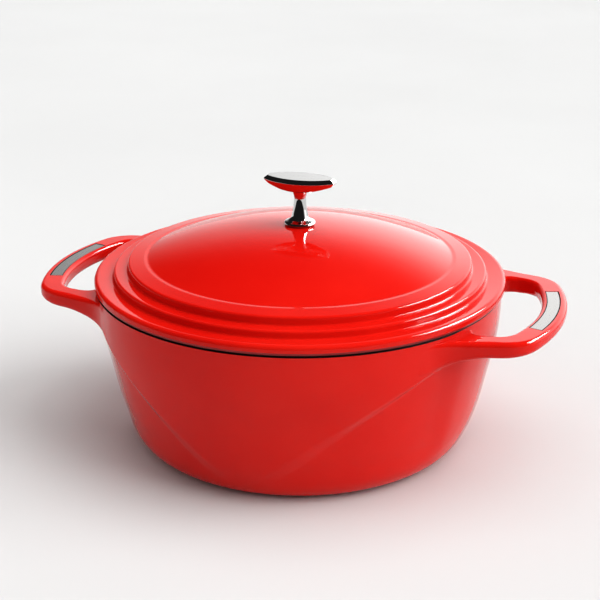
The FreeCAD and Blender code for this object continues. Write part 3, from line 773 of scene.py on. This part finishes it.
def make_knob():
    """Knob as one skin of rings: a brushed flat top, a polished bevel and a side that tucks in, an underside
    that rises towards its ends as a square of the length and is drawn in to the stem as a power, then the
    stem and base."""
    plain = head_outline(0)
    flat = head_outline(KNOB_BEVEL)
    tucked = head_outline(KNOB_SIDE_TUCK)
    turn = np.arctan2(plain[:, 1], plain[:, 0])
    circle = np.stack([np.cos(turn), np.sin(turn)], axis=1)
    neck_r, neck_z = KNOB_STEM[0]
    bow = KNOB_MIDDLE_T - KNOB_END_T
    keel_r = (KNOB_HALF_LENGTH ** 2 + bow ** 2) / (2 * bow)
    under = KNOB_TOP - KNOB_MIDDLE_T + plain[:, 0] ** 2 / (2 * keel_r)
    under = np.minimum(under, KNOB_TOP - KNOB_END_T + KNOB_SIDE_Z)
    side_top = KNOB_TOP - KNOB_BEVEL - KNOB_SIDE_Z

    def ring(plan, height):
        return np.concatenate([plan, np.broadcast_to(height, len(plan))[:, None]], axis=1)

    rings = []
    for share in KNOB_TOP_SHARES:
        rings.append(ring(flat * share, KNOB_TOP))
    for t in np.linspace(0, 1, 4):
        plan = head_outline(KNOB_BEVEL + KNOB_TOP_ROUND * (1 - t))
        rings.append(ring(plan, KNOB_TOP - KNOB_TOP_ROUND * 0.5 * t ** 2))
    for t in (0.15, 0.5, 0.85):
        height = KNOB_TOP - KNOB_TOP_DROP - (KNOB_BEVEL - KNOB_SIDE_T) * t
        rings.append(ring(head_outline(KNOB_BEVEL * (1 - t)), height))
    for t in np.linspace(0, 1, 4):
        height = KNOB_TOP - KNOB_BEVEL + KNOB_SIDE_Z - KNOB_SIDE_T * t
        rings.append(ring(head_outline(KNOB_SIDE_BULGE * (1 - t) ** 2), height))
    for t in (0.1, 0.35, 0.65, 0.9):
        rings.append(ring(head_outline(KNOB_SIDE_TUCK * t), side_top + (under - side_top) * t))
    for t in np.linspace(0.05, 1, 14):
        keep = (1 - t) ** KNOB_DRAW_POWER
        rings.append(ring(tucked * (1 - t) + circle * neck_r * t, under * keep + neck_z * (1 - keep)))
    stem = natural_curve(KNOB_STEM, 0.6 * MM)[1:]
    base = rounded_path([
        (*stem[-1], 0),
        (KNOB_BASE_R, 0, 0.3 * MM),
        (1 * MM, 0, 0),
    ], arc_points=5)
    for radius, height in np.concatenate([stem, base[1:]]):
        rings.append(ring(circle * radius, height))
    rings = np.array(rings) + (0, 0, KNOB_LOW.z)
    bands = np.zeros(len(rings), int)
    bands[:len(KNOB_TOP_SHARES) + 1] = 1
    knob = skin("knob_casting", rings, "lid", bands=bands)
    knob.data.materials.append(POLISHED)
    knob.data.materials.append(BRUSHED_TOP)
    return knob


# ---------------------------------------------------------------- the object

bowl = make_bowl()
make_handle(1, "loop_handle_right")
make_handle(-1, "loop_handle_left")
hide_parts("pot_body")
lid = make_lid()
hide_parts("lid")
knob = make_knob()
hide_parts("knob")

CAD_FINISHES = {
    "badge_right": SATIN,
    "badge_left": SATIN,
    "knob_screw": SCREW_STEEL,
    "knob_flat_washer": SCREW_STEEL,
    "knob_lock_washer": SCREW_STEEL,
}
for name, material in CAD_FINISHES.items():
    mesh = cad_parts[name].data
    mesh.materials.clear()
    mesh.materials.append(material)


# ---------------------------------------------------------------- studio

# The sheet ends a little in front of the object, so that its front faces reflect the dark beyond
FLOOR_REACH = 6.0
FLOOR_FRONT = 0.46
PAPER = ((0.590, 0.590, 0.587), (0.610, 0.610, 0.607))

# Surroundings. The sides are cosines from the bright side, an azimuth in degrees, and the heights are sines.
BRIGHT_SIDE = 58
BRIGHT_FROM = 0.22
BRIGHT_FULL = 0.95
BACK_GLOW = 2.3
BACK_TOP = 0.30
CEILING_GLOW = 0.25
CEILING_FROM = 0.72
FRONT_GLOW = 0.02
AMBIENT_GLOW = 0.47
EYE_GLOW = 0.80

# Lights: name, azimuth and elevation in degrees, power, and spread in degrees
SUNS = (
    ("right_key", 2, 38, 2.3, 55),
    ("top_wash", 60, 84, 1.1, 50),
)
LIGHT_DISTANCE = 3.0
LIGHT_AIM_Z = 0.08
BOX_AZIMUTH = 30
BOX_ELEVATION = 38
BOX_DISTANCE = 2.2
BOX_WIDTH = 1.9
BOX_HEIGHT = 0.7
BOX_POWER = 170

# Camera
LENS = 82.96
SENSOR = 36
CAMERA_DISTANCE = 965.8 * MM
CAMERA_ELEVATION = math.radians(20.57)
CAMERA_AZIMUTH = math.radians(17.6)
CAMERA_AIM_Z = 96.5 * MM
CLIP_START = 0.02
CLIP_END = 50


def make_floor():
    """Pale floor sheet: one flat face, wide and deep, that ends a little in front of the object."""
    mesh = bpy.data.meshes.new("studio_floor")
    corners = [(-FLOOR_REACH, -FLOOR_FRONT, 0), (FLOOR_REACH, -FLOOR_FRONT, 0)]
    corners += [(FLOOR_REACH, FLOOR_REACH, 0), (-FLOOR_REACH, FLOOR_REACH, 0)]
    mesh.from_pydata(corners, [], [(0, 1, 2, 3)])
    floor = bpy.data.objects.new("studio_floor", mesh)
    bpy.context.scene.collection.objects.link(floor)
    material, tree, shader = new_material("studio_paper", Roughness=0.9, Specular_IOR_Level=0.1)
    tone = place_group(tree, CLOUDY, Scale=2.0)
    tree.links.new(tinted(tree, tone.outputs[0], *PAPER), shader.inputs["Base Color"])
    mesh.materials.append(material)


def unit(azimuth, elevation):
    """Direction at an azimuth from +X and an elevation, both in degrees."""
    turn, rise = math.radians(azimuth), math.radians(elevation)
    return np.array([math.cos(rise) * math.cos(turn), math.cos(rise) * math.sin(turn), math.sin(rise)])


def add_light(name, kind, direction, distance, **settings):
    """Studio light in a direction from the object, aimed back at it."""
    data = bpy.data.lights.new(name, kind)
    for key, value in settings.items():
        setattr(data, key, value)
    light = bpy.data.objects.new(name, data)
    bpy.context.scene.collection.objects.link(light)
    light.location = direction * distance + (0, 0, LIGHT_AIM_Z)
    light.rotation_euler = Vector(-direction).to_track_quat("-Z", "Y").to_euler()
    light.visible_camera = False
    return light


def make_air():
    """Studio surroundings: in reflections bright and low behind the object and dim elsewhere. To every other
    ray they are even."""
    world = bpy.data.worlds.new("studio_air")
    world.use_nodes = True
    tree = world.node_tree
    towards = node(tree, "ShaderNodeTexCoord").outputs["Generated"]
    behind = node(tree, "ShaderNodeVectorMath", {0: towards, 1: unit(BRIGHT_SIDE, 0)},
                  operation="DOT_PRODUCT")
    side = node(tree, "ShaderNodeMapRange", {
        "Value": behind.outputs["Value"], "From Min": BRIGHT_FROM, "From Max": BRIGHT_FULL,
    }, interpolation_type="SMOOTHSTEP")
    height = node(tree, "ShaderNodeSeparateXYZ", {"Vector": towards})
    low = node(tree, "ShaderNodeMapRange", {
        "Value": height.outputs["Z"], "From Min": BACK_TOP, "From Max": CEILING_FROM,
        "To Min": BACK_GLOW, "To Max": CEILING_GLOW,
    }, interpolation_type="SMOOTHSTEP")
    glow = node(tree, "ShaderNodeMath", {0: side.outputs["Result"], 1: low.outputs["Result"], 2: FRONT_GLOW},
                operation="MULTIPLY_ADD")
    path = node(tree, "ShaderNodeLightPath")
    lit = node(tree, "ShaderNodeMix", {
        "Factor": path.outputs["Is Glossy Ray"], "A": AMBIENT_GLOW, "B": glow.outputs[0]})
    seen = node(tree, "ShaderNodeMix", {
        "Factor": path.outputs["Is Camera Ray"], "A": lit.outputs[0], "B": EYE_GLOW})
    background = tree.nodes["Background"]
    background.inputs["Color"].default_value = (1, 1, 1, 1)
    tree.links.new(seen.outputs[0], background.inputs["Strength"])
    bpy.context.scene.world = world


def make_studio():
    """Soft key from the right, a wash from above, and a wide box that only draws the highlights."""
    make_air()
    for name, azimuth, elevation, power, spread in SUNS:
        sun = add_light(name, "SUN", unit(azimuth, elevation), LIGHT_DISTANCE, energy=power,
                        angle=math.radians(spread))
        sun.visible_glossy = False
    box = add_light("highlight_box", "AREA", unit(BOX_AZIMUTH, BOX_ELEVATION), BOX_DISTANCE, energy=BOX_POWER,
                    shape="RECTANGLE", size=BOX_WIDTH, size_y=BOX_HEIGHT)
    box.visible_diffuse = False


def make_camera():
    """Camera aimed at the middle of the object from in front, a little above and to the right."""
    away = np.array([
        math.cos(CAMERA_ELEVATION) * math.sin(CAMERA_AZIMUTH),
        -math.cos(CAMERA_ELEVATION) * math.cos(CAMERA_AZIMUTH),
        math.sin(CAMERA_ELEVATION),
    ])
    data = bpy.data.cameras.new("studio_camera")
    data.lens = LENS
    data.sensor_width = SENSOR
    data.clip_start = CLIP_START
    data.clip_end = CLIP_END
    camera = bpy.data.objects.new("studio_camera", data)
    bpy.context.scene.collection.objects.link(camera)
    camera.location = away * CAMERA_DISTANCE + (0, 0, CAMERA_AIM_Z)
    camera.rotation_euler = Vector(-away).to_track_quat("-Z", "Y").to_euler()
    bpy.context.scene.camera = camera


make_floor()
make_studio()
make_camera()
bpy.context.scene.view_settings.view_transform = "Standard"
bpy.context.scene.view_settings.look = "Medium High Contrast"
